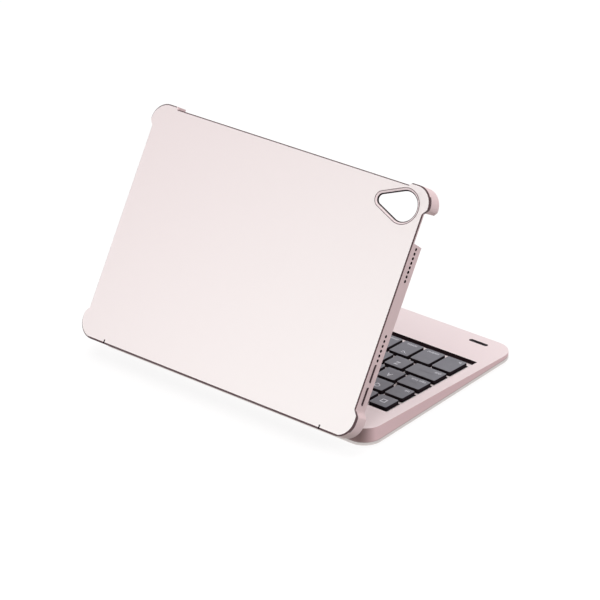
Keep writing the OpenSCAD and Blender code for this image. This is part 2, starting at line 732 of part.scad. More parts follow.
module battery() color("lightsteelblue")
    on_case() translate([-battery_l - battery_side, battery_v, floor_z]) linear_extrude(battery_t)
        round_rect(battery_l, battery_d, battery_r);

// Board with its controller, its radio and the power switch's body
module circuit_board() color("seagreen") on_case() {
    translate([board_x0, board_v, board_z]) cube([board_l, board_d, board_t]);
    for (c = chips) translate([board_x0 + c[0], board_v + c[1], board_top - eps])
        cube([c[2], c[3], c[4] + eps]);
    translate([board_x1 - switch_body[0], switch_v - switch_body[1] / 2, board_top - eps])
        cube(switch_body);
}

module charge_port() color("silver") at_port(case_w / 2 - port_sunk - port_l) difference() {
    linear_extrude(port_l) pill(port_w, port_h);
    translate([0, 0, port_back]) linear_extrude(port_l) difference() {
        pill(port_w - 2 * port_wall, port_h - 2 * port_wall);
        square([port_w - 2 * tongue_side, tongue_t], center = true);
    }
}

// Slide knob with the flange that keeps it in
module power_switch() color("rosybrown") on_case()
    translate([case_w / 2 + switch_out - knob_len, switch_v - (switch_travel + switch_knob[1]) / 2,
               switch_z]) {
        cube([knob_len, switch_knob[1], switch_knob[2]]);
        translate([-knob_flange, knob_side, -knob_edge])
            cube([knob_flange + 0.1, switch_knob[1] - 2 * knob_side, switch_knob[2] + 2 * knob_edge]);
    }

module led_board() color("seagreen") on_deck()
    translate([lens_x - lens_l / 2 - led_margin, lens_v - lens_w / 2 - led_margin,
               -case_wall - led_board_t])
        cube([lens_l + 2 * led_margin, lens_w + 2 * led_margin, led_board_t]);

module indicator_lens() color("black") on_deck()
    translate([0, 0, -case_wall]) linear_extrude(case_wall - lens_sunk) lens_shape(0);

module wake_magnets() color("silver") both_sides() on_deck()
    translate([magnet_x, magnet_v, -case_wall - magnet_t]) cylinder(r = magnet_r, h = magnet_t);

// ---- Keys ----

// Profile of a key across its width: upright sides and a chamfered top edge
module cap_profile(w) polygon([[0, 0], [w, 0], [w, cap_h - key_chamfer], [w - key_chamfer, cap_h],
                               [key_chamfer, cap_h], [0, cap_h - key_chamfer]]);

module keycap(w, d) difference() {
    intersection() {
        linear_extrude(cap_h) round_rect(w, d, key_r);
        translate([0, d + past, 0]) rotate([90, 0, 0]) linear_extrude(d + 2 * past) cap_profile(w);
        translate([-past, 0, 0]) rotate([90, 0, 90]) linear_extrude(w + 2 * past) cap_profile(d);
    }
    translate([cap_wall, cap_wall, -past])
        cube([w - 2 * cap_wall, d - 2 * cap_wall, past + cap_h - cap_top_t]);
}

module key_node(name) color("dimgray") on_deck() for (k = key_list) if (k[0] == name)
    translate([k[1], k[2], cap_bottom]) keycap(k[3], k[4]);

// ---- The case ----

lid_shell();
hinge_barrel();
friction_sleeves();
hinge_pins();
volume_up_button();
volume_down_button();
top_case();
bottom_cover();
key_plate();
dome_sheet();
battery();
circuit_board();
charge_port();
power_switch();
led_board();
indicator_lens();
wake_magnets();
rubber_feet();
case_screws();
for (name = key_nodes) key_node(name);
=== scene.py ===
import json
import math

import bmesh
import bpy
from mathutils import Matrix, Vector

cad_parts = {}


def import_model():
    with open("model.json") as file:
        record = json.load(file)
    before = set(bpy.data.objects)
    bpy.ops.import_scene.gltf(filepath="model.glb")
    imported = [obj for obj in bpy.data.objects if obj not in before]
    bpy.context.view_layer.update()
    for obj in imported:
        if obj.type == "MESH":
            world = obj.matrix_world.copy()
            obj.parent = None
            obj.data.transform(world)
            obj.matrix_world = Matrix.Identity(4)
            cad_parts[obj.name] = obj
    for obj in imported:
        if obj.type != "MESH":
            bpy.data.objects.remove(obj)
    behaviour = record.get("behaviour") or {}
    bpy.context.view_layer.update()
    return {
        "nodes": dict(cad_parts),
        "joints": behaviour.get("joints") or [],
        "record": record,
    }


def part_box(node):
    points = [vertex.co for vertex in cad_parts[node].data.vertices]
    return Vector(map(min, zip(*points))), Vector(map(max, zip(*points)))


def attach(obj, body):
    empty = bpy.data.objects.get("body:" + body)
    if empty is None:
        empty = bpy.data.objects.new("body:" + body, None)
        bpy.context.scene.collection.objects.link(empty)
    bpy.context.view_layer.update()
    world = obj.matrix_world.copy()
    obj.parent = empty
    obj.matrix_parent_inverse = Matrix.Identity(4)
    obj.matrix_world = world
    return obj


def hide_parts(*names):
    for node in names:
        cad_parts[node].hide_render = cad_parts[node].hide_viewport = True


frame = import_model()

# Tablet keyboard case: finishes, key caps with their legends and fine detail round the
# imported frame. Lengths are in metres; MM turns a millimetre size into metres.

MM = 0.001

# ---- Places taken from the frame ----

WEDGE = math.radians(3.1)
LID_OPEN = math.radians(60)
HINGE_IN_LID = Vector((0, 3.15, 11.8)) * MM
HINGE_ON_DECK = Vector((0, 138.2, -2.1)) * MM

HINGE = Vector(next(j for j in frame["joints"] if j["name"] == "lid_hinge")["pos_m"])
# Deck frame: x across, y along the sloping deck from its front edge, z out of the deck
DECK = (Matrix.Translation(HINGE) @ Matrix.Rotation(WEDGE, 4, "X")
        @ Matrix.Translation(-HINGE_ON_DECK))
# Lid frame: x across, y up the plate from its lower edge, z from its outer face to the user
LID = (Matrix.Translation(HINGE) @ Matrix.Rotation(WEDGE + math.pi - LID_OPEN, 4, "X")
       @ Matrix.Translation(-HINGE_IN_LID))
BODY_OF = {node: body for body, nodes in frame["record"]["behaviour"]["bodies"].items()
           for node in nodes}

# ---- Sizes of the solids that the finishes follow ----

PLATE_W = 198 * MM
PLATE_T = 1.5 * MM
PLATE_CHAMFER = 0.6 * MM
SIDE_WALL = 1.1 * MM
# The camera opening is a teardrop from a large circle at its place to a small one
CAMERA_OPENING = Vector((-85.4, 128.2, 0)) * MM
CAMERA_R = 8.4 * MM
CAMERA_END_R = 2.9 * MM
CAMERA_LEN = 14.8 * MM
CAMERA_BEVEL = 1.7 * MM
SPEAKER_R = 0.9 * MM
SPEAKER_Z = 5.0 * MM
SPEAKER_FROM, SPEAKER_TO = 20 * MM, 115 * MM
# Rows of sound holes: side of the lid, first hole's height and pitch in millimetres, number
SPEAKER_ROWS = ((-1, 90.3, 2.57, 8), (-1, 45.4, 2.74, 6), (1, 26, 2.6, 8), (1, 94, 2.6, 8))
VOLUME_FROM, VOLUME_TO = 18 * MM, 45 * MM
VOLUME_HALF_W = 1.7 * MM
SLIT_FROM, SLIT_TO = 79.7 * MM, 81 * MM
SLIT_H = 2.8 * MM
WELL_W = 189 * MM
WELL_D = 80.5 * MM
WELL_FRONT = 28.3 * MM
WELL_DEPTH = 1.8 * MM
WELL_FLOOR = 0.9 * MM
LENS_PLACE = Vector((-79.7, 7.7, 0)) * MM
LENS_L = 12.8 * MM
LENS_W = 2.5 * MM

# ---- Where one finish meets another ----

EAR_BAND = 1.7 * MM          # band on the ears from the plate's outer face, painted dark as a painted reflection
LOWER_BAND = 1.1 * MM        # band along the plate's lower edge, painted dark as painted reflection and shade
BUTTON_BAND = 5.1 * MM       # where the lower part of a volume button, painted dark as the shade of its slot, ends
CAMERA_DARK = 0.65 * MM      # depth past which the camera opening's wall takes painted shade
STRIP_TOP = 3.8 * MM         # top of the pale strip on the case's wall above the table, partly a paler rim, partly a painted reflection of the floor
STRIP_END = 30 * MM          # where the painted shadow strip along the well's front wall ends

# Shares of a face's normal along an axis. Above one of the first four the face looks along
# the axis, more or less; below one of the last two it stands across it.
LEVEL, NEARLY_LEVEL, FACING, TILTED = 0.99, 0.97, 0.9, 0.2
UPRIGHT, STEEP = 0.3, 0.5
ON_PLANE = 0.1 * MM          # a face this near a plane lies on it


# ---- Materials ----

NOISE_ROUGHNESS = 0.55
GLOSS_PER_PATCH = 9          # gloss varies this many times faster than colour
SHELL_TEXTURE = {"grain": 2800, "grain_depth": 0.002 * MM, "patch": 9, "spread": 0.012}


def new_material(name, colour, roughness, **sockets):
    """A Principled material; sockets are further inputs by name, with _ for a space."""
    material = bpy.data.materials.new(name)
    material.use_nodes = True
    shader = material.node_tree.nodes["Principled BSDF"]
    shader.inputs["Base Color"].default_value = (*colour, 1)
    shader.inputs["Roughness"].default_value = roughness
    for socket, value in sockets.items():
        shader.inputs[socket.replace("_", " ")].default_value = value
    return material


def add_node(tree, kind, inputs=(), **settings):
    """A node of that kind; inputs are {socket name or number: value or output socket}."""
    node = tree.nodes.new(kind)
    for name, value in settings.items():
        setattr(node, name, value)
    for socket, value in dict(inputs).items():
        if isinstance(value, bpy.types.NodeSocket):
            tree.links.new(value, node.inputs[socket])
        else:
            node.inputs[socket].default_value = value
    return node


def to_shader(material, socket, output):
    shader = material.node_tree.nodes["Principled BSDF"]
    material.node_tree.links.new(output, shader.inputs[socket])


def noise(material, scale, detail=2, stretch=(1, 1, 1)):
    """Noise on object coordinates; scale is in cycles for each metre."""
    tree = material.node_tree
    place = add_node(tree, "ShaderNodeTexCoord")
    mapping = add_node(tree, "ShaderNodeMapping",
                       {"Vector": place.outputs["Object"], "Scale": stretch})
    return add_node(tree, "ShaderNodeTexNoise",
                    {"Vector": mapping.outputs["Vector"], "Scale": scale, "Detail": detail,
                     "Roughness": NOISE_ROUGHNESS}).outputs["Fac"]


def between(material, fac, low, high, start=0.3, end=0.7):
    """A value that runs from low to high as fac runs from start to end."""
    return add_node(material.node_tree, "ShaderNodeMapRange",
                    {"Value": fac, "From Min": start, "From Max": end,
                     "To Min": low, "To Max": high}).outputs["Result"]


def colours_between(material, fac, one, other, start=0.3, end=0.7):
    """A colour that runs from one to other as fac runs from start to end."""
    ramp = add_node(material.node_tree, "ShaderNodeValToRGB", {"Fac": fac})
    first, last = ramp.color_ramp.elements
    first.position, last.position = start, end
    first.color, last.color = (*one, 1), (*other, 1)
    return ramp.outputs["Color"]


def mixed(tree, fac, one, other):
    """A colour that runs from one to other as fac runs from 0 to 1."""
    fac_socket, one_socket, other_socket, colour_output = 0, 6, 7, 2
    return add_node(tree, "ShaderNodeMix",
                    {fac_socket: fac, one_socket: one, other_socket: other},
                    data_type="RGBA").outputs[colour_output]


def drift(material, one, other, patch):
    """Slow drift between two colours."""
    to_shader(material, "Base Color",
              colours_between(material, noise(material, patch), one, other))


def uneven_gloss(material, roughness, patch, spread):
    gloss = noise(material, patch * GLOSS_PER_PATCH, detail=3)
    to_shader(material, "Roughness",
              between(material, gloss, roughness - spread, roughness + spread))


def grained(material, grain, depth):
    bump = add_node(material.node_tree, "ShaderNodeBump",
                    {"Height": noise(material, grain), "Distance": depth, "Strength": 1.0})
    to_shader(material, "Normal", bump.outputs["Normal"])


def textured(name, one, other, roughness, grain, grain_depth, patch=25, spread=0.05,
             **sockets):
    """A finish with slow colour drift, uneven gloss and a fine grain.

    patch and grain are noise scales in cycles for each metre, grain_depth is in metres."""
    material = new_material(name, one, roughness, **sockets)
    drift(material, one, other, patch)
    uneven_gloss(material, roughness, patch, spread)
    grained(material, grain, grain_depth)
    return material


def plate_painted_sheen():
    """The lid's large plate, paler than the rest of the shell as a painted sheen, and rosier
    towards one upper corner as painted shade where that sheen falls off.
    """
    pale, rosy = (0.878, 0.825, 0.815), (0.835, 0.735, 0.735)
    # Direction in which the painted sheen gives way to painted shade
    sheen_fades_towards = (1, 0, 1.2)
    from_m, to_m = -0.05, 0.24
    roughness = 0.38
    material = new_material("plate_painted_sheen", (0.87, 0.80, 0.79), roughness, Metallic=0.2)
    place = add_node(material.node_tree, "ShaderNodeTexCoord")
    along = add_node(material.node_tree, "ShaderNodeVectorMath",
                     {0: place.outputs["Object"], 1: sheen_fades_towards},
                     operation="DOT_PRODUCT")
    share = between(material, along.outputs["Value"], 0, 1, from_m, to_m)
    to_shader(material, "Base Color", colours_between(material, share, pale, rosy, 0, 1))
    uneven_gloss(material, roughness, patch=7, spread=0.008)
    grained(material, grain=3200, depth=0.0012 * MM)
    return material


def wall_paint(name, one, other, shade):
    """Deeper rose of the walls, a painted shade beside the deck's paint, running to a darker
    painted shade where they face the hinge side.

    Returns the material and the shaded colour's output."""
    material = textured(name, one, other, 0.45, Metallic=0.1, **SHELL_TEXTURE)
    tree = material.node_tree
    rose = tree.nodes["Principled BSDF"].inputs["Base Color"].links[0].from_socket
    facing = add_node(tree, "ShaderNodeAttribute", attribute_name="painted_hinge_shade")
    shaded = mixed(tree, facing.outputs["Fac"], rose, (*shade, 1))
    to_shader(material, "Base Color", shaded)
    return material, shaded


def case_wall_paint():
    """Rose wall with a dusky line and a pale strip below it, by height above the table; the
    strip is partly a paler rim, partly a painted reflection of the white floor.
    """
    pale, dusk = (0.84, 0.79, 0.77, 1), (0.36, 0.28, 0.28, 1)
    most_dusk = 0.45
    edge = 0.1 * MM
    dusk_from, dusk_to = STRIP_TOP + 0.3 * MM, STRIP_TOP + 0.9 * MM
    material, rose = wall_paint("case_wall_paint", (0.77, 0.53, 0.55), (0.78, 0.545, 0.565),
                                (0.23, 0.145, 0.14))
    tree = material.node_tree
    place = add_node(tree, "ShaderNodeTexCoord")
    height = add_node(tree, "ShaderNodeSeparateXYZ",
                      {0: place.outputs["Object"]}).outputs["Z"]
    above = between(material, height, 0, 1, STRIP_TOP, STRIP_TOP + edge)
    dusky = between(material, height, 1, 0, dusk_from, dusk_to)
    greyed = add_node(tree, "ShaderNodeMath", {0: dusky, 1: most_dusk},
                      operation="MULTIPLY")
    wall = mixed(tree, greyed.outputs[0], rose, dusk)
    # Below the strip's top the wall turns pale: partly a paler rim, partly a painted
    # reflection of the floor
    to_shader(material, "Base Color", mixed(tree, above, pale, wall))
    return material


def brushed_steel():
    """Bare steel with streaks along x."""
    material = new_material("brushed_steel", (0.52, 0.52, 0.54), 0.32, Metallic=1.0)
    drift(material, (0.52, 0.52, 0.54), (0.60, 0.60, 0.62), patch=25)
    streaks = noise(material, 900, stretch=(0.04, 1, 1))
    to_shader(material, "Roughness", between(material, streaks, 0.24, 0.46))
    grained(material, grain=900, depth=0.002 * MM)
    return material


PLATE = plate_painted_sheen()
PAINT = textured("rose_paint", (0.81, 0.68, 0.69), (0.82, 0.695, 0.705), 0.42,
                 Metallic=0.1, **SHELL_TEXTURE)
# The walls' deeper rose and their darker colour towards the hinge are painted shade
SIDE = wall_paint("side_paint", (0.74, 0.555, 0.565), (0.75, 0.57, 0.58),
                  (0.47, 0.33, 0.315))[0]
CASE_WALL = case_wall_paint()
COVER = textured("cover_paint", (0.76, 0.70, 0.68), (0.78, 0.72, 0.70), 0.34,
                 grain=2200, grain_depth=0.002 * MM, patch=18, spread=0.02, Metallic=0.85)
# Near-black for the lid's chamfer, edge bands, button faces and camera bead: painted
# reflection of dark surroundings and painted shade
EDGE = textured("dark_edge_painted_reflection", (0.085, 0.045, 0.05), (0.10, 0.055, 0.06), 0.3,
                grain=1200, grain_depth=0.001 * MM, Metallic=0.2, Specular_IOR_Level=0.3)
# Near-black painted shade for the walls of holes, slits, openings and the key well, and a
# painted shadow strip on the well's floor
PAINTED_SHADE = textured("near_black_painted_shade", (0.014, 0.006, 0.008), (0.02, 0.009, 0.012), 0.7,
                  grain=1500, grain_depth=0.01 * MM, Specular_IOR_Level=0.1)
# Paler than the deck: painted light on the well's floor, which lies in the keys' shade
WELL = textured("well_floor_painted_light", (0.84, 0.74, 0.745), (0.85, 0.755, 0.76), 0.45,
                **SHELL_TEXTURE)
# Lit and shaded copies of the keys' plastic: tops in the caps' dark grey lightened as painted
# sheen, sides near-black as painted shade
KEY_TOP = textured("key_top_painted_sheen", (0.19, 0.187, 0.21), (0.205, 0.202, 0.225), 0.55,
                   grain=5200, grain_depth=0.008 * MM, patch=60, Specular_IOR_Level=0.3)
KEY_SIDE = textured("key_side_painted_shade", (0.009, 0.005, 0.007), (0.013, 0.008, 0.011), 0.6,
                    grain=3000, grain_depth=0.008 * MM, Specular_IOR_Level=0.1)
INK = textured("legend_ink", (0.62, 0.62, 0.67), (0.68, 0.68, 0.73), 0.55,
               grain=4000, grain_depth=0.004 * MM, patch=400)
LENS = textured("dark_lens", (0.008, 0.005, 0.007), (0.012, 0.008, 0.010), 0.5,
                grain=700, grain_depth=0.001 * MM, Specular_IOR_Level=0.05)
RUBBER = textured("foot_rubber", (0.045, 0.045, 0.048), (0.07, 0.07, 0.073), 0.85,
                  grain=2400, grain_depth=0.03 * MM, patch=90)
STEEL = brushed_steel()
SILICONE = textured("silicone", (0.62, 0.61, 0.58), (0.70, 0.69, 0.66), 0.55,
                    grain=900, grain_depth=0.01 * MM, Subsurface_Weight=0.15,
                    Subsurface_Scale=0.002)
FOIL = textured("battery_foil", (0.45, 0.46, 0.48), (0.55, 0.56, 0.58), 0.35,
                grain=160, grain_depth=0.12 * MM, Metallic=0.9)
BOARD = textured("solder_mask", (0.012, 0.10, 0.045), (0.018, 0.14, 0.06), 0.35,
                 grain=1400, grain_depth=0.02 * MM, patch=260, Coat_Weight=0.3)
GOLD = textured("gold_contact", (0.75, 0.52, 0.20), (0.82, 0.60, 0.28), 0.3,
                grain=2400, grain_depth=0.002 * MM, Metallic=1.0)


# ---- Meshes ----

WELD = 0.002 * MM            # vertices nearer than this are one
SAME_FACE = math.radians(0.5)    # faces that meet at less are one
BROAD_FACE = 400 * MM * MM   # a face above this area is shaded flat
Y, Z = 1, 2                  # axes across which a cut divides


def new_object(name, mesh, *materials):
    obj = bpy.data.objects.new(name, mesh)
    bpy.context.scene.collection.objects.link(obj)
    for material in materials:
        mesh.materials.append(material)
    return obj


def smooth(obj, angle=30):
    """Smooth shading, crisp where faces meet at more than the angle; broad faces flat."""
    obj.data.shade_smooth()
    obj.data.set_sharp_from_angle(angle=math.radians(angle))
    for face in obj.data.polygons:
        if face.area > BROAD_FACE:
            face.use_smooth = False


def to_mesh(bm, name):
    """The bmesh as a mesh; the bmesh is freed."""
    mesh = bpy.data.meshes.new(name)
    bm.to_mesh(mesh)
    bm.free()
    return mesh


def welded(node):
    """The CAD node's mesh as a bmesh whose triangles share their vertices."""
    bm = bmesh.new()
    bm.from_mesh(frame["nodes"][node].data)
    bmesh.ops.remove_doubles(bm, verts=bm.verts, dist=WELD)
    return bm


def solid_copy(node, name, *materials, cuts=()):
    """The CAD node's shape as one welded mesh with large flat faces.

    cuts are (frame, axis, place) planes that divide faces for their finishes."""
    bm = welded(node)
    bmesh.ops.dissolve_limit(bm, angle_limit=SAME_FACE, verts=bm.verts, edges=bm.edges)
    for place, axis, at in cuts:
        normal = Vector(float(i == axis) for i in range(3))
        bmesh.ops.bisect_plane(bm, geom=bm.verts[:] + bm.edges[:] + bm.faces[:],
                               plane_co=place @ (normal * at),
                               plane_no=place.to_3x3() @ normal)
    return new_object(name, to_mesh(bm, name), *materials)


def assign(obj, place, material, test):
    """Gives the material to faces whose centre and normal pass the test in that frame."""
    slot = list(obj.data.materials).index(material)
    back = place.inverted()
    turn = back.to_3x3()
    for face in obj.data.polygons:
        if test(back @ face.center, turn @ face.normal):
            face.material_index = slot


def mark_painted_hinge_shade(obj, direction):
    """Shares of painted shade for the wall paint: 1 where a wall faces the direction, 0 where
    it doesn't.
    """
    first, reach = 0.35, 0.55
    mesh = obj.data
    marks = mesh.attributes.new("painted_hinge_shade", "FLOAT", "CORNER")
    facing = (corner.vector.dot(direction) for corner in mesh.corner_normals)
    marks.data.foreach_set("value", [min(max((f - first) / reach, 0), 1) for f in facing])


def finish_piece(obj, body, *nodes, slot):
    """The piece rides on the body, in place of the CAD nodes given."""
    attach(obj, body)
    if nodes:
        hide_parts(*nodes)


# ---- Geometry node trees ----

def new_tree(name, **inputs):
    """An empty tree with a Geometry input and output and the named inputs given."""
    tree = bpy.data.node_groups.new(name, "GeometryNodeTree")
    face = tree.interface
    face.new_socket("Geometry", in_out="INPUT", socket_type="NodeSocketGeometry")
    for label, kind in inputs.items():
        face.new_socket(label.replace("_", " "), in_out="INPUT",
                        socket_type="NodeSocket" + kind)
    face.new_socket("Geometry", in_out="OUTPUT", socket_type="NodeSocketGeometry")
    return tree, tree.nodes.new("NodeGroupInput"), tree.nodes.new("NodeGroupOutput")


def finish_tree(tree, geometry, material, output):
    """Ends a tree: instances made real, then the material."""
    real = add_node(tree, "GeometryNodeRealizeInstances", {"Geometry": geometry})
    finish = add_node(tree, "GeometryNodeSetMaterial",
                      {"Geometry": real.outputs["Geometry"], "Material": material})
    tree.links.new(finish.outputs["Geometry"], output.inputs["Geometry"])


def run_tree(name, tree, mesh, place, **values):
    """The tree's result on a start mesh, as a plain mesh object placed in the frame."""
    start = new_object(name + "_start", mesh)
    modifier = start.modifiers.new("nodes", "NODES")
    modifier.node_group = tree
    sockets = {item.name: item.identifier for item in tree.interface.items_tree
               if item.in_out == "INPUT"}
    for label, value in values.items():
        modifier[sockets[label.replace("_", " ")]] = value
    depsgraph = bpy.context.evaluated_depsgraph_get()
    result = bpy.data.meshes.new_from_object(start.evaluated_get(depsgraph))
    bpy.data.objects.remove(start)
    result.name = name
    result.transform(place)
    return new_object(name, result)


def row_tree(name, **inputs):
    """A tree for a row of equal shapes side by side along y, and how to end it."""
    tree, given, output = new_tree(name, Count="Int", Pitch="Float", **inputs,
                                   Material="Material")
    step = add_node(tree, "ShaderNodeCombineXYZ", {"Y": given.outputs["Pitch"]})
    row = add_node(tree, "GeometryNodeMeshLine",
                   {"Count": given.outputs["Count"], "Offset": step.outputs[0]})

    def fill(shape, turn=(0, 0, 0)):
        many = add_node(tree, "GeometryNodeInstanceOnPoints",
                        {"Points": row.outputs[0], "Instance": shape, "Rotation": turn})
        finish_tree(tree, many.outputs[0], given.outputs["Material"], output)
        return tree

    return tree, given, fill


def swept(tree, line, radius, sides, capped):
    """A round section of a few sides along a curve."""
    profile = add_node(tree, "GeometryNodeCurvePrimitiveCircle",
                       {"Resolution": sides, "Radius": radius})
    return add_node(tree, "GeometryNodeCurveToMesh",
                    {"Curve": line, "Profile Curve": profile.outputs[0],
                     "Fill Caps": capped}).outputs[0]


def bar_tree():
    """A row of short round bars along x: grip ribs and contacts."""
    tree, given, fill = row_tree("bar_row", Length="Float", Radius="Float")
    end = add_node(tree, "ShaderNodeCombineXYZ", {"X": given.outputs["Length"]})
    spine = add_node(tree, "GeometryNodeCurvePrimitiveLine", {"End": end.outputs[0]})
    return fill(swept(tree, spine.outputs[0], given.outputs["Radius"], sides=10, capped=True))


def hole_tree():
    """A row of short round plugs, each across the row: dark plugs of painted shade in the
    sound holes.
    """
    tree, given, fill = row_tree("hole_shade_plugs", Radius="Float", Thickness="Float")
    plug = add_node(tree, "GeometryNodeMeshCylinder",
                    {"Vertices": 20, "Radius": given.outputs["Radius"],
                     "Depth": given.outputs["Thickness"]})
    return fill(plug.outputs[0], turn=(0, math.pi / 2, 0))


def bead_tree():
    """A thin round bead along the start mesh's closed line."""
    tree, given, output = new_tree("bead", Radius="Float", Material="Material")
    line = add_node(tree, "GeometryNodeMeshToCurve", {"Mesh": given.outputs["Geometry"]})
    bead = swept(tree, line.outputs[0], given.outputs["Radius"], sides=8, capped=False)
    finish_tree(tree, bead, given.outputs["Material"], output)
    return tree


BAR_ROW = bar_tree()
HOLE_SHADE_PLUGS = hole_tree()
BEAD = bead_tree()


# ---- Lid ----

def near_camera(p):
    """Inside the teardrop of the camera opening's bevel."""
    margin = 0.8 * MM
    off = p - CAMERA_OPENING
    along = min(max(off.x / CAMERA_LEN, 0), 1)
    radius = CAMERA_R + (CAMERA_END_R - CAMERA_R) * along + CAMERA_BEVEL + margin
    return math.hypot(off.x - CAMERA_LEN * along, off.y) < radius


def on_plate(p, n):
    return n.z < -LEVEL and p.z < ON_PLANE


# The chamfer round the plate takes the near-black of a painted reflection
def on_chamfer(p, n):
    return p.z < PLATE_CHAMFER and -NEARLY_LEVEL < n.z < -TILTED and not near_camera(p)


def on_ear_edge(p, n):
    """Band beside the chamfer, on the ears only, painted dark as a painted reflection."""
    past_plate = 0.3 * MM
    return (p.z < EAR_BAND and abs(n.z) < UPRIGHT
            and abs(p.x) > PLATE_W / 2 + past_plate)


def on_wall(p, n):
    """Upright outer faces of the lid."""
    return abs(n.z) < STEEP and p.z > PLATE_CHAMFER


def on_lower_band(p, n):
    """Band on the plate along its lower edge, painted dark as painted reflection and shade.
    """
    return p.y < LOWER_BAND and n.z < -NEARLY_LEVEL and p.z < ON_PLANE


def in_lid_hole(p, n):
    """Walls of the sound holes, button seats, slits and camera opening, which take painted
    shade.
    """
    from_middle = abs(p.z - SPEAKER_Z)
    in_side = abs(p.x) > PLATE_W / 2 - SIDE_WALL - ON_PLANE and abs(n.x) < STEEP
    sound = in_side and from_middle < SPEAKER_R and SPEAKER_FROM < p.y < SPEAKER_TO
    button = (in_side and p.x < 0 and VOLUME_FROM < p.y < VOLUME_TO
              and from_middle < VOLUME_HALF_W)
    slit = SLIT_FROM < abs(p.x) < SLIT_TO and p.y < SLIT_H and abs(n.z) < STEEP
    opening = near_camera(p) and CAMERA_DARK < p.z < PLATE_T and abs(n.z) < NEARLY_LEVEL
    return sound or button or slit or opening


def lid():
    """The shell that holds the tablet, with its finishes."""
    obj = solid_copy("lid_shell", "lid_shell_painted", PAINT, PLATE, EDGE, PAINTED_SHADE, SIDE,
                     cuts=((LID, Z, CAMERA_DARK), (LID, Z, EAR_BAND), (LID, Y, LOWER_BAND)))
    # The lid's walls take the deeper rose of painted shade, the plate the paler paint of
    # painted sheen
    assign(obj, LID, SIDE, on_wall)
    assign(obj, LID, PLATE, on_plate)
    assign(obj, LID, EDGE, on_chamfer)
    assign(obj, LID, EDGE, on_ear_edge)
    assign(obj, LID, EDGE, on_lower_band)
    assign(obj, LID, PAINTED_SHADE, in_lid_hole)
    smooth(obj)
    mark_painted_hinge_shade(obj, LID.to_3x3() @ Vector((0, -1, 0)))
    finish_piece(obj, "lid", "lid_shell", slot="shell")


def camera_bead():
    """A raised bead round the outer edge of the camera opening's bevel, coloured dark as
    painted shade of a groove.
    """
    steps = 28
    big, small = CAMERA_R + CAMERA_BEVEL, CAMERA_END_R + CAMERA_BEVEL
    touch = math.acos((big - small) / CAMERA_LEN)
    points = []
    for x, r, first, last in ((0, big, touch, 2 * math.pi - touch),
                              (CAMERA_LEN, small, -touch, touch)):
        for i in range(steps + 1):
            a = first + (last - first) * i / steps
            off = Vector((x + r * math.cos(a), r * math.sin(a), 0))
            points.append(CAMERA_OPENING + off)
    name = "camera_bevel_line"
    mesh = bpy.data.meshes.new(name)
    mesh.from_pydata(points, [(i, (i + 1) % len(points)) for i in range(len(points))], [])
    obj = run_tree(name, BEAD, mesh, LID, Radius=0.18 * MM, Material=EDGE)
    smooth(obj, angle=60)
    finish_piece(obj, "lid", slot="trim")


def sound_hole_shade():
    """Dark plugs at the inner end of each sound hole, as painted shade."""
    thickness, sunk, overlap = 0.4 * MM, 0.02 * MM, 0.01 * MM
    for number, (side, first, pitch, count) in enumerate(SPEAKER_ROWS):
        x = side * (PLATE_W / 2 - SIDE_WALL + thickness / 2 + sunk)
        place = LID @ Matrix.Translation((x, first * MM, SPEAKER_Z))
        name = f"sound_gauze_{number + 1}"
        obj = run_tree(name, HOLE_SHADE_PLUGS, bpy.data.meshes.new(name), place, Count=count,
                       Pitch=pitch * MM, Radius=SPEAKER_R + overlap, Thickness=thickness,
                       Material=PAINTED_SHADE)
        smooth(obj)
        finish_piece(obj, "lid", slot="trim")


def barrel():
    obj = solid_copy("hinge_barrel", "hinge_barrel_painted", PAINT)
    smooth(obj)
    finish_piece(obj, "lid", "hinge_barrel", slot="trim")


def volume_buttons():
    """Two buttons whose flanks and lower part are painted dark, as painted shade of the slot
    round them.
    """
    for node in ("volume_up_button", "volume_down_button"):
        obj = solid_copy(node, node + "_painted", SIDE, PAINTED_SHADE, EDGE,
                         cuts=((LID, Z, BUTTON_BAND),))
        # Flanks and the lower outer face: painted shade of the slot
        assign(obj, LID, PAINTED_SHADE, lambda p, n: abs(n.x) < STEEP)
        assign(obj, LID, EDGE, lambda p, n: n.x < -STEEP and p.z < BUTTON_BAND)
        smooth(obj)
        finish_piece(obj, BODY_OF[node], node, slot="trim")


# ---- Keyboard case ----

def on_well_floor_level(p):
    margin = 0.2 * MM
    return abs(p.z + WELL_DEPTH) < margin and abs(p.x) < WELL_W / 2


def in_case_hole(p, n):
    """Walls of the well, the key openings and the indicator's slot, and the strip of the
    well's floor along its front wall, all of which take painted shade."""
    below_deck = p.z < -0.02 * MM
    round_well, round_slot = 0.5 * MM, 0.3 * MM
    well_from = WELL_FRONT - round_well
    in_well = (abs(p.x) < WELL_W / 2 + round_well
               and well_from < p.y < WELL_FRONT + WELL_D + round_well
               and -WELL_DEPTH - WELL_FLOOR < p.z and below_deck)
    off = p - LENS_PLACE
    in_slot = (abs(off.x) < LENS_L / 2 + round_slot and abs(off.y) < LENS_W / 2 + round_slot
               and below_deck)
    front_strip = well_from < p.y < STRIP_END and on_well_floor_level(p)
    return abs(n.z) < UPRIGHT and (in_well or in_slot) or front_strip


# The well's floor takes the paler paint of painted light
def on_well_floor(p, n):
    return n.z > FACING and on_well_floor_level(p)


def on_case_wall(p, n):
    return abs(n.z) < STEEP


def upper_shell():
    """The keyboard case's upper shell, with its deck, walls and well."""
    obj = solid_copy("top_case", "top_case_painted", PAINT, PAINTED_SHADE, CASE_WALL, WELL,
                     cuts=((DECK, Y, STRIP_END),))
    assign(obj, DECK, CASE_WALL, on_case_wall)
    assign(obj, DECK, WELL, on_well_floor)
    assign(obj, DECK, PAINTED_SHADE, in_case_hole)
    smooth(obj)
    mark_painted_hinge_shade(obj, Vector((0, 1, 0)))
    finish_piece(obj, "base", "top_case", slot="shell")


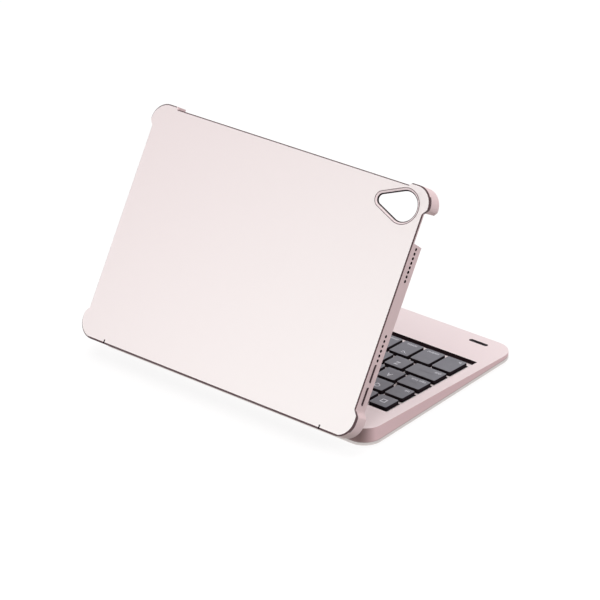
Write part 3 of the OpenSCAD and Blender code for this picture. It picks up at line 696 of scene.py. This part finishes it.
def cover():
    obj = solid_copy("bottom_cover", "bottom_cover_painted", COVER)
    smooth(obj)
    finish_piece(obj, "base", "bottom_cover", slot="trim")


PLAIN_FINISHES = {
    "friction_sleeves": STEEL, "hinge_pins": STEEL, "key_plate": STEEL,
    "wake_magnets": STEEL, "charge_port": STEEL, "dome_sheet": SILICONE,
    "battery": FOIL, "circuit_board": BOARD, "led_board": BOARD,
    "indicator_lens": LENS, "power_switch": PAINT, "case_screws": STEEL,
    "rubber_feet": RUBBER,
}


def plain_finishes():
    """CAD nodes whose shape stays, with their materials."""
    for node, material in PLAIN_FINISHES.items():
        mesh = frame["nodes"][node].data
        mesh.materials.clear()
        mesh.materials.append(material)


def bar_row(name, place, body, slot, **values):
    """A row of round bars as one piece."""
    obj = run_tree(name, BAR_ROW, bpy.data.meshes.new(name), place, **values)
    smooth(obj, angle=50)
    finish_piece(obj, body, slot=slot)


def switch_ribs():
    """Three grip ribs on the outer end of the power switch."""
    low, high = (Vector(c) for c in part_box("power_switch"))
    radius, pitch, end_gap = 0.14 * MM, 0.9 * MM, 0.4 * MM
    sunk = radius * 1.1      # the ribs stay inside the switch's own box
    start = Vector((high.x - sunk, (low.y + high.y) / 2 - pitch, low.z + end_gap))
    place = Matrix.Translation(start) @ Matrix.Rotation(-math.pi / 2, 4, "Y")
    bar_row("power_switch_ribs", place, BODY_OF["power_switch"], "trim", Count=3,
            Pitch=pitch, Length=high.z - low.z - 2 * end_gap, Radius=radius, Material=PAINT)


def port_contacts():
    """Gold contacts on the upper face of the charging port's tongue."""
    low, high = (Vector(c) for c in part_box("charge_port"))
    count, pitch, radius = 6, 0.9 * MM, 0.12 * MM
    from_mouth, above_middle = 4.2 * MM, 0.35 * MM
    start = Vector((high.x - from_mouth, (low.y + high.y) / 2 - pitch * (count - 1) / 2,
                    (low.z + high.z) / 2 + above_middle))
    bar_row("charge_port_contacts", Matrix.Translation(start), "base", "steel", Count=count,
            Pitch=pitch, Length=3.6 * MM, Radius=radius, Material=GOLD)


# ---- Keys ----

CAP_HEIGHT = 2.45 * MM
CAP_DRAFT = 0.12 * MM        # how far the sides lean in
CAP_ROUND = 0.22 * MM        # radius of the upper edge
CAP_EDGE = CAP_DRAFT + CAP_ROUND
CAP_DISH = 0.07 * MM         # depth of the hollow in the top
CAP_CORNER = 1.0 * MM        # radius of the corners seen from above
LEAST_CORNER = 0.15 * MM
CAP_WALL = 0.9 * MM
CAP_TOP = 0.8 * MM
CORNER_STEPS = 5
ROUND_STEPS = (30, 60, 90)             # degrees round the cap's upper edge
DISH_SHARES = (0.2, 0.4, 0.65, 0.9)    # where the dish's rings lie, from edge to middle
# Each corner's signs in x and y, and where its arc starts in degrees
CORNERS = ((1, -1, -90), (1, 1, 0), (-1, 1, 90), (-1, -1, 180))


def dip(share):
    """How deep the dish is, from 0 at a key's edge to 1 in its middle."""
    return 1 - (1 - share) ** 2


def cap_pattern():
    """One key cap drawn in to a point: its four corners meet at the origin.

    sign says which corner a vertex belongs to, share how far it lies in from the edge
    towards the middle, and top marks the faces with the lighter top colour, partly painted
    sheen; the others take the near-black of painted shade."""
    rings = []
    bm = bmesh.new()
    sign = bm.verts.layers.float_vector.new("sign")
    share_of = bm.verts.layers.float.new("share")
    top = bm.faces.layers.int.new("top")

    def ring(inset, height, share=0.0):
        r = max(CAP_CORNER - inset, LEAST_CORNER)
        verts = []
        for sx, sy, start in CORNERS:
            for i in range(CORNER_STEPS + 1):
                a = math.radians(start + 90 * i / CORNER_STEPS)
                vert = bm.verts.new((r * math.cos(a) - sx * (inset + r),
                                     r * math.sin(a) - sy * (inset + r), height))
                vert[sign] = (sx, sy, 0)
                vert[share_of] = share
                verts.append(vert)
        rings.append(verts)

    # From the inside's top, over the lower rim and up the sides, to the dished top
    ring(CAP_WALL, -CAP_TOP)
    ring(CAP_WALL, -CAP_HEIGHT)
    ring(0, -CAP_HEIGHT)
    ring(CAP_DRAFT, -CAP_ROUND)
    first_top = len(rings)
    for step in ROUND_STEPS:
        a = math.radians(step)
        ring(CAP_DRAFT + CAP_ROUND * (1 - math.cos(a)), -CAP_ROUND * (1 - math.sin(a)))
    for share in DISH_SHARES:
        ring(CAP_EDGE, -CAP_DISH * dip(share), share)
    for k, (inner, outer) in enumerate(zip(rings, rings[1:])):
        for i in range(len(inner)):
            j = (i + 1) % len(inner)
            face = bm.faces.new((inner[i], inner[j], outer[j], outer[i]))
            face[top] = k >= first_top
    bm.faces.new(rings[-1])[top] = 1
    bm.faces.new(reversed(rings[0]))[top] = 0
    return new_object("cap_pattern", to_mesh(bm, "cap_pattern"))


def cap_tree():
    """Stretches the cap pattern over each point, by the point's half size and reach."""
    tree, given, output = new_tree("key_caps", Pattern="Object", Top_Finish="Material",
                                   Side_Finish="Material")
    pattern = add_node(tree, "GeometryNodeObjectInfo", {"Object": given.outputs["Pattern"]})
    many = add_node(tree, "GeometryNodeInstanceOnPoints",
                    {"Points": given.outputs["Geometry"],
                     "Instance": pattern.outputs["Geometry"]})
    real = add_node(tree, "GeometryNodeRealizeInstances", {"Geometry": many.outputs[0]})

    def attribute(name, kind):
        return add_node(tree, "GeometryNodeInputNamedAttribute", {"Name": name},
                        data_type=kind).outputs[0]

    def vectors(one, other, operation):
        return add_node(tree, "ShaderNodeVectorMath", {0: one, 1: other},
                        operation=operation).outputs[0]

    inward = add_node(tree, "ShaderNodeMath",
                      {0: attribute("share", "FLOAT"), 1: attribute("reach", "FLOAT")},
                      operation="MULTIPLY").outputs[0]
    inset = add_node(tree, "ShaderNodeCombineXYZ", {"X": inward, "Y": inward})
    span = vectors(attribute("half", "FLOAT_VECTOR"), inset.outputs[0], "SUBTRACT")
    move = vectors(attribute("sign", "FLOAT_VECTOR"), span, "MULTIPLY")
    spread = add_node(tree, "GeometryNodeSetPosition",
                      {"Geometry": real.outputs[0], "Offset": move})
    sides = add_node(tree, "GeometryNodeSetMaterial",
                     {"Geometry": spread.outputs[0],
                      "Material": given.outputs["Side Finish"]})
    tops = add_node(tree, "GeometryNodeSetMaterial",
                    {"Geometry": sides.outputs[0], "Selection": attribute("top", "BOOLEAN"),
                     "Material": given.outputs["Top Finish"]})
    tree.links.new(tops.outputs[0], output.inputs["Geometry"])
    return tree


def islands(node, place):
    """Boxes of a CAD node's separate solids in a local frame, front row first."""
    bm = welded(node)
    back = place.inverted()
    left, boxes = set(bm.verts), []
    while left:
        found = {left.pop()}
        edge = set(found)
        while edge:
            edge = {e.other_vert(v) for v in edge for e in v.link_edges} - found
            found |= edge
        left -= found
        points = [back @ v.co for v in found]
        boxes.append((Vector(min(p[i] for p in points) for i in range(3)),
                      Vector(max(p[i] for p in points) for i in range(3))))
    bm.free()
    return sorted(boxes, key=lambda b: (round(b[0].y / MM), b[0].x))


def top_height(box, x, y):
    """Height of a key's dished top at a point."""
    low, high = box
    reach = min(high.x - low.x, high.y - low.y) / 2 - CAP_EDGE
    inward = min(x - low.x, high.x - x, y - low.y, high.y - y) - CAP_EDGE
    share = min(max(inward / reach, 0), DISH_SHARES[-1])
    return high.z - CAP_DISH * dip(share)


# Words stand near the front edge of a key, each key's in the order of its solids
WORDS = {
    "key_tab": ["tab"], "key_caps_lock": ["caps lock"], "key_left_shift": ["shift"],
    "key_fn": ["fn"], "key_control": ["control"], "key_option": ["option"],
    "left_command_key": ["command"], "key_enter": ["enter"], "key_backspace": ["delete"],
    "right_modifier_keys": ["option", "shift"],
}
LEFT_WORDS = ("key_fn", "key_tab", "key_caps_lock", "key_left_shift")
RIGHT_WORDS = ("key_enter", "key_backspace")
DIGITS = list(zip("1234567890", "!@#$%^&*()"))
MARKS = list(zip(",./;-=", "<>?:_+"))
WORD_SIZE = 2.6 * MM
WORD_UP = 2.1 * MM           # from the key's front edge to a word's foot
WORD_MIDDLE_UP = WORD_UP + 0.7 * MM    # to the middle of a word that is centred
WORD_IN = 2.0 * MM           # from the key's side to a word
LETTER_SIZE = 4.9 * MM
LETTER_UP = 1.5 * MM         # a letter's middle above the key's middle
SMALL_SIZE = 3.4 * MM
SMALL_OFF = 2.4 * MM         # from a key's middle to each of its two marks
OPTION_LEFT, OPTION_DOWN = 1.9 * MM, 3.6 * MM
INK_UP = 0.018 * MM
INK_DOWN = 0.04 * MM
INK_BOLDER = 0.009           # strokes grow by this share of the letter's size


def text_mesh(text, size, align):
    """Flat lettering with a little thickness, as a mesh round its own origin."""
    curve = bpy.data.curves.new("lettering", "FONT")
    curve.body = text
    curve.size = size
    curve.align_x = align
    curve.align_y = "CENTER" if align == "CENTER" else "BOTTOM_BASELINE"
    curve.extrude = (INK_UP + INK_DOWN) / 2
    curve.offset = size * INK_BOLDER
    curve.resolution_u = 3
    obj = bpy.data.objects.new("lettering", curve)
    bpy.context.scene.collection.objects.link(obj)
    depsgraph = bpy.context.evaluated_depsgraph_get()
    mesh = bpy.data.meshes.new_from_object(obj.evaluated_get(depsgraph))
    bpy.data.objects.remove(obj)
    bpy.data.curves.remove(curve)
    return mesh


def shape_mesh(outlines):
    """Flat signs from closed outlines in millimetres, as thick as lettering."""
    bm = bmesh.new()
    half = (INK_UP + INK_DOWN) / 2
    for outline in outlines:
        rims = [[bm.verts.new((x * MM, y * MM, z)) for x, y in outline]
                for z in (-half, half)]
        bm.faces.new(rims[1])
        bm.faces.new(reversed(rims[0]))
        for i in range(len(outline)):
            j = (i + 1) % len(outline)
            bm.faces.new((rims[0][i], rims[0][j], rims[1][j], rims[1][i]))
    bmesh.ops.recalc_face_normals(bm, faces=bm.faces)
    return to_mesh(bm, "sign")


def bar(x0, y0, x1, y1):
    return [(x0, y0), (x1, y0), (x1, y1), (x0, y1)]


def stroke(x0, y0, x1, y1, width):
    """Outline of a straight stroke between two points."""
    length = math.hypot(x1 - x0, y1 - y0)
    nx, ny = -(y1 - y0) / length * width / 2, (x1 - x0) / length * width / 2
    return [(x0 - nx, y0 - ny), (x1 - nx, y1 - ny), (x1 + nx, y1 + ny), (x0 + nx, y0 + ny)]


# Signs in millimetres from their middles
HOME_SIGN = [bar(-1.85, -1.85, 1.85, -1.15), bar(-1.85, 1.15, 1.85, 1.85),
             bar(-1.85, -1.15, -1.15, 1.15), bar(1.15, -1.15, 1.85, 1.15)]
OPTION_SIGN = [stroke(-1.9, 0.75, -0.9, 0.75, 0.4), stroke(-0.95, 0.85, 0.55, -0.85, 0.4),
               stroke(0.5, -0.75, 1.9, -0.75, 0.4), stroke(0.5, 0.75, 1.9, 0.75, 0.4)]
# The font's own M crosses itself when it is made bolder
M_SIGN = [bar(-1.75, -1.7, -1.25, 1.7), stroke(-1.45, 1.6, 0, -0.5, 0.5),
          stroke(0, -0.5, 1.45, 1.6, 0.5), bar(1.25, -1.7, 1.75, 1.7)]
ARROWS = ([[(-1.3, 0), (0.9, -1.2), (0.9, 1.2)]], [[(0, -1.1), (1.2, 0.9), (-1.2, 0.9)]],
          [[(1.3, 0), (-0.9, 1.2), (-0.9, -1.2)]], [[(0, 1.1), (-1.2, -0.9), (1.2, -0.9)]])


def word_legend(node, word, width):
    if node in LEFT_WORDS:
        return text_mesh(word, WORD_SIZE, "LEFT"), WORD_IN, WORD_UP
    if node in RIGHT_WORDS or word == "shift":
        return text_mesh(word, WORD_SIZE, "RIGHT"), width - WORD_IN, WORD_UP
    return text_mesh(word, WORD_SIZE, "CENTER"), width / 2, WORD_MIDDLE_UP


def legends(node, number, box):
    """Legends of one key, as (mesh, x, y) from the key's front left corner."""
    low, high = box
    w, d = high.x - low.x, high.y - low.y
    found = []
    if node in WORDS:
        found.append(word_legend(node, WORDS[node][number], w))
    if node == "key_option":
        found.append((shape_mesh(OPTION_SIGN), w / 2 - OPTION_LEFT, d - OPTION_DOWN))
    elif node == "key_home":
        found.append((shape_mesh(HOME_SIGN), w / 2, d / 2))
    elif node == "arrow_keys":
        found.append((shape_mesh(ARROWS[number]), w / 2, d / 2))
    elif node in ("digit_keys", "punctuation_keys"):
        lower, upper = (DIGITS if node == "digit_keys" else MARKS)[number]
        found.append((text_mesh(lower, SMALL_SIZE, "CENTER"), w / 2, d / 2 - SMALL_OFF))
        found.append((text_mesh(upper, SMALL_SIZE, "CENTER"), w / 2, d / 2 + SMALL_OFF))
    elif node == "key_m":
        found.append((shape_mesh(M_SIGN), w / 2, d / 2 + LETTER_UP))
    elif len(node) == len("key_a"):
        letter = text_mesh(node[-1].upper(), LETTER_SIZE, "CENTER")
        found.append((letter, w / 2, d / 2 + LETTER_UP))
    return found


def add_mesh(bm, mesh, slot):
    """Adds a mesh to a bmesh, with all of its faces in one material slot."""
    before = len(bm.faces)
    bm.from_mesh(mesh)
    bm.faces.ensure_lookup_table()
    for face in bm.faces[before:]:
        face.material_index = slot
    bpy.data.meshes.remove(mesh)


def homing_bar(box):
    """A low round bar for the finger to find, near the front edge of F and J."""
    radius, half_length, from_front, flatter = 0.28 * MM, 1.4 * MM, 2.0 * MM, 0.6
    low, high = box
    bm = bmesh.new()
    bmesh.ops.create_uvsphere(bm, u_segments=16, v_segments=8, radius=radius)
    for vert in bm.verts:
        vert.co.x += math.copysign(half_length, vert.co.x) + (low.x + high.x) / 2
        vert.co.y += low.y + from_front
        vert.co.z = vert.co.z * flatter + high.z - CAP_DISH
    return to_mesh(bm, "homing_bar")


def key_points(node, boxes):
    """One vertex for each key, at the middle of its top, with its half size and reach."""
    mesh = bpy.data.meshes.new(node + "_points")
    mesh.from_pydata([((a.x + b.x) / 2, (a.y + b.y) / 2, b.z) for a, b in boxes], [], [])
    mesh.attributes.new("half", "FLOAT_VECTOR", "POINT")
    mesh.attributes.new("reach", "FLOAT", "POINT")
    for i, (low, high) in enumerate(boxes):
        half = (high - low) / 2
        mesh.attributes["half"].data[i].vector = (half.x, half.y, 0)
        mesh.attributes["reach"].data[i].value = min(half.x, half.y) - CAP_EDGE
    return mesh


def lettered(bm, node, boxes, ink, top):
    """Adds each key's legends, laid on its dished top, and its homing bar."""
    for number, box in enumerate(boxes):
        for sign, x, y in legends(node, number, box):
            for vert in sign.vertices:
                up = vert.co.z + (INK_UP - INK_DOWN) / 2
                px, py = box[0].x + x + vert.co.x, box[0].y + y + vert.co.y
                vert.co = (px, py, top_height(box, px, py) + up)
            add_mesh(bm, sign, ink)
        if node in ("key_f", "key_j"):
            add_mesh(bm, homing_bar(box), top)


def key_caps(node, tree, pattern):
    """A node's caps with their legends, as one piece in place of its solids."""
    boxes = islands(node, DECK)
    obj = run_tree(node + "_cap", tree, key_points(node, boxes), Matrix(), Pattern=pattern,
                   Top_Finish=KEY_TOP, Side_Finish=KEY_SIDE)
    mesh = obj.data
    finishes = [KEY_TOP, KEY_SIDE, INK]
    given = list(mesh.materials)
    # clear() sets every index to 0, so the indices are worked out first
    slots = [finishes.index(given[face.material_index]) for face in mesh.polygons]
    mesh.materials.clear()
    for finish in finishes:
        mesh.materials.append(finish)
    mesh.polygons.foreach_set("material_index", slots)
    bm = bmesh.new()
    bm.from_mesh(mesh)
    lettered(bm, node, boxes, finishes.index(INK), finishes.index(KEY_TOP))
    bmesh.ops.recalc_face_normals(bm, faces=bm.faces)
    bm.to_mesh(mesh)
    bm.free()
    mesh.transform(DECK)
    for name in ("sign", "share", "top", "half", "reach"):
        if name in mesh.attributes:
            mesh.attributes.remove(mesh.attributes[name])
    smooth(obj, angle=40)
    finish_piece(obj, BODY_OF[node], node, slot="keycap")


def is_key(node):
    return (node.endswith(("_keys", "_key"))
            or node.startswith("key_") and node != "key_plate")


def keys():
    pattern, tree = cap_pattern(), cap_tree()
    for node in filter(is_key, BODY_OF):
        key_caps(node, tree, pattern)
    bpy.data.objects.remove(pattern)


# ---- Stage, light and camera ----

AIM = Vector((34.96, -44.15, 7.37)) * MM
AIM_DISTANCE = 1718 * MM
AZIMUTH = math.radians(221.692)
ELEVATION = math.radians(27.500)
ROLL = math.radians(-2.306)
LENS_MM = 175.03
SENSOR_MM = 36
FARTHEST = 50.0              # how far the camera sees
FLOOR_HALF = 6.0             # half the floor's side
# Name, place, point it faces, side and power in watts
SOFTBOXES = (
    ("overhead", (0.0, 0.45, 1.85), (0, 0, 0), 1.3, 17.5),
    ("front_light", (-0.15, -1.25, 1.0), (-0.05, -0.05, 0.02), 0.9, 8),
    ("side_light", (-1.3, -0.45, 0.85), (-0.05, 0, 0.02), 0.9, 9),
    ("far_side_light", (1.3, -0.3, 0.6), (0, 0, 0.02), 0.9, 3),
    ("plate_light", (0.08, 0.48, 0.18), (-0.02, 0.04, 0.04), 0.4, 0.93),
    ("low_plate_light", (-0.2, 0.45, 0.22), (-0.06, 0.06, 0.03), 0.3, 0.45),
)


def camera():
    """A long lens that looks at the back of the open lid."""
    data = bpy.data.cameras.new("camera")
    data.lens = LENS_MM
    data.sensor_width = SENSOR_MM
    data.clip_end = FARTHEST
    obj = bpy.data.objects.new("camera", data)
    bpy.context.scene.collection.objects.link(obj)
    back = Vector((math.sin(AZIMUTH) * math.cos(ELEVATION),
                   -math.cos(AZIMUTH) * math.cos(ELEVATION), math.sin(ELEVATION)))
    turn = back.to_track_quat("Z", "Y").to_matrix().to_4x4()
    obj.matrix_world = (Matrix.Translation(AIM + back * AIM_DISTANCE) @ turn
                        @ Matrix.Rotation(ROLL, 4, "Z"))
    bpy.context.scene.camera = obj


def either(tree, one, other):
    """The greater of two values."""
    return add_node(tree, "ShaderNodeMath", {0: one, 1: other},
                    operation="MAXIMUM").outputs[0]


def seen_directly(tree):
    """1 for camera, mirror and glass rays, 0 for the rays that light the object."""
    path = add_node(tree, "ShaderNodeLightPath").outputs
    seen = either(tree, path["Is Camera Ray"], path["Is Glossy Ray"])
    return either(tree, seen, path["Is Transmission Ray"])


def two_faced(tree, lit, seen, output_kind):
    """Ends a tree with one shader for the light it gives and another for how it looks."""
    mix = add_node(tree, "ShaderNodeMixShader",
                   {0: seen_directly(tree), 1: lit.outputs[0], 2: seen.outputs[0]})
    add_node(tree, output_kind, {"Surface": mix.outputs[0]})


def floor():
    """Pale floor that shows almost white, with a faint shadow of the object."""
    mesh = bpy.data.meshes.new("floor")
    corners = [(x * FLOOR_HALF, y * FLOOR_HALF, 0)
               for x, y in ((-1, -1), (1, -1), (1, 1), (-1, 1))]
    mesh.from_pydata(corners, [], [(0, 1, 2, 3)])
    material = bpy.data.materials.new("floor")
    material.use_nodes = True
    tree = material.node_tree
    tree.nodes.clear()
    lit = add_node(tree, "ShaderNodeBsdfDiffuse", {"Color": (0.32, 0.32, 0.32, 1)})
    faint = add_node(tree, "ShaderNodeBsdfDiffuse", {"Color": (0.17, 0.166, 0.166, 1)})
    glow = add_node(tree, "ShaderNodeEmission", {"Strength": 0.86})
    white = add_node(tree, "ShaderNodeAddShader", {0: faint.outputs[0], 1: glow.outputs[0]})
    two_faced(tree, lit, white, "ShaderNodeOutputMaterial")
    new_object("floor", mesh, material)


def world():
    """Soft even light all round, seen as plain white."""
    studio = bpy.data.worlds.new("studio")
    bpy.context.scene.world = studio
    studio.use_nodes = True
    tree = studio.node_tree
    tree.nodes.clear()
    lit = add_node(tree, "ShaderNodeBackground",
                   {"Color": (1, 0.99, 0.985, 1), "Strength": 0.18})
    white = add_node(tree, "ShaderNodeBackground", {"Color": (1, 1, 1, 1), "Strength": 1.0})
    two_faced(tree, lit, white, "ShaderNodeOutputWorld")


def softbox(name, place, aim, size, power):
    """A square light that neither the camera nor mirror rays see."""
    data = bpy.data.lights.new(name, "AREA")
    data.shape = "SQUARE"
    data.size = size
    data.energy = power
    obj = bpy.data.objects.new(name, data)
    bpy.context.scene.collection.objects.link(obj)
    place, aim = Vector(place), Vector(aim)
    obj.matrix_world = (Matrix.Translation(place)
                        @ (place - aim).to_track_quat("Z", "Y").to_matrix().to_4x4())
    obj.visible_camera = False
    obj.visible_glossy = False


lid()
camera_bead()
sound_hole_shade()
barrel()
volume_buttons()
upper_shell()
cover()
plain_finishes()
switch_ribs()
port_contacts()
keys()
camera()
floor()
world()
for light in SOFTBOXES:
    softbox(*light)

scene = bpy.context.scene
scene.view_settings.view_transform = "Standard"
